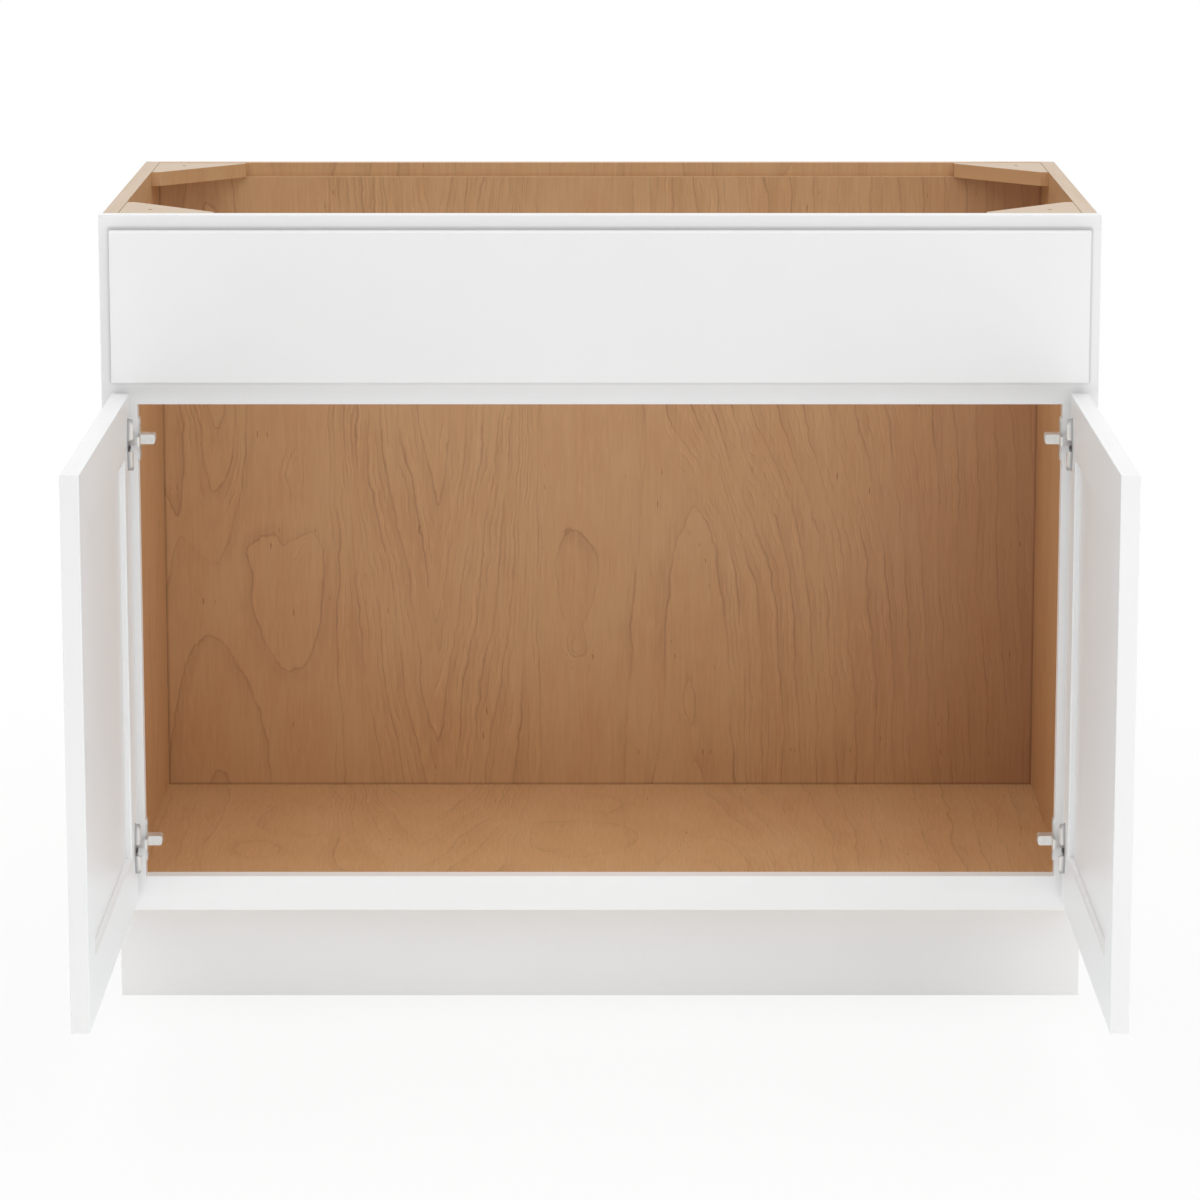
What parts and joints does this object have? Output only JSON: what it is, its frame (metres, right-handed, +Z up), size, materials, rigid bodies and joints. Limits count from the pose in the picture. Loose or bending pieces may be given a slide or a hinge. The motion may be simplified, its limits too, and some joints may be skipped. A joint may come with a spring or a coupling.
{
  "type": "vanity cabinet",
  "caption": "Sink-base vanity cabinet: face frame, false drawer front, open top with corner braces, toe space and a pair of framed doors on concealed cup hinges.",
  "frame": {"origin": "on the floor, on the centre line, below the front face of the face frame; with the doors open that is the middle of the footprint within 4 mm", "axes": "+X to the right seen from the front, +Y towards the wall, +Z up"},
  "size_m": [1.0668, 1.0588, 0.8763],
  "materials": {
    "white_paint": "sprayed satin white paint on hardwood",
    "maple_plywood": "warm maple veneer, satin clear coat, raw light edges",
    "nickel_steel": "nickel-plated metal, pressed and cast",
    "zinc_steel": "bright zinc-plated steel",
    "spring_steel": "bare spring steel"
  },
  "bodies": {
    "carcass": {"back_panel": "maple_plywood", "deck": "maple_plywood", "false_front": "white_paint", "frame_bottom_rail": "white_paint", "frame_left_stile": "white_paint", "frame_mid_rail": "white_paint", "frame_right_stile": "white_paint", "frame_top_rail": "white_paint", "front_left_brace": "maple_plywood", "front_right_brace": "maple_plywood", "hanging_rail": "maple_plywood", "left_front_bracket": "zinc_steel", "left_lower_hinge_arm": "nickel_steel", "left_lower_hinge_plate": "nickel_steel", "left_side_panel": "maple_plywood", "left_upper_hinge_arm": "nickel_steel", "left_upper_hinge_plate": "nickel_steel", "rear_base_rail": "maple_plywood", "rear_left_brace": "maple_plywood", "rear_right_brace": "maple_plywood", "right_front_bracket": "zinc_steel", "right_lower_hinge_arm": "nickel_steel", "right_lower_hinge_plate": "nickel_steel", "right_side_panel": "maple_plywood", "right_upper_hinge_arm": "nickel_steel", "right_upper_hinge_plate": "nickel_steel", "toe_board": "white_paint"},
    "left_door": {"left_door_bottom_rail": "white_paint", "left_door_hinge_stile": "white_paint", "left_door_lock_stile": "white_paint", "left_door_panel": "white_paint", "left_door_top_rail": "white_paint", "left_hinge_springs": "spring_steel", "left_lower_hinge_cup": "nickel_steel", "left_upper_hinge_cup": "nickel_steel"},
    "right_door": {"right_door_bottom_rail": "white_paint", "right_door_hinge_stile": "white_paint", "right_door_lock_stile": "white_paint", "right_door_panel": "white_paint", "right_door_top_rail": "white_paint", "right_hinge_springs": "spring_steel", "right_lower_hinge_cup": "nickel_steel", "right_upper_hinge_cup": "nickel_steel"}
  },
  "joints": [
    {"name": "left_door_hinge", "type": "hinge", "parent": "carcass", "child": "left_door", "pos_m": [-0.5135, -0.0135, 0.4064], "axis": [0, 0, -1], "range_deg": [-90, 10]},
    {"name": "right_door_hinge", "type": "hinge", "parent": "carcass", "child": "right_door", "pos_m": [0.5135, -0.0135, 0.4064], "axis": [0, 0, 1], "range_deg": [-90, 10]}
  ]
}
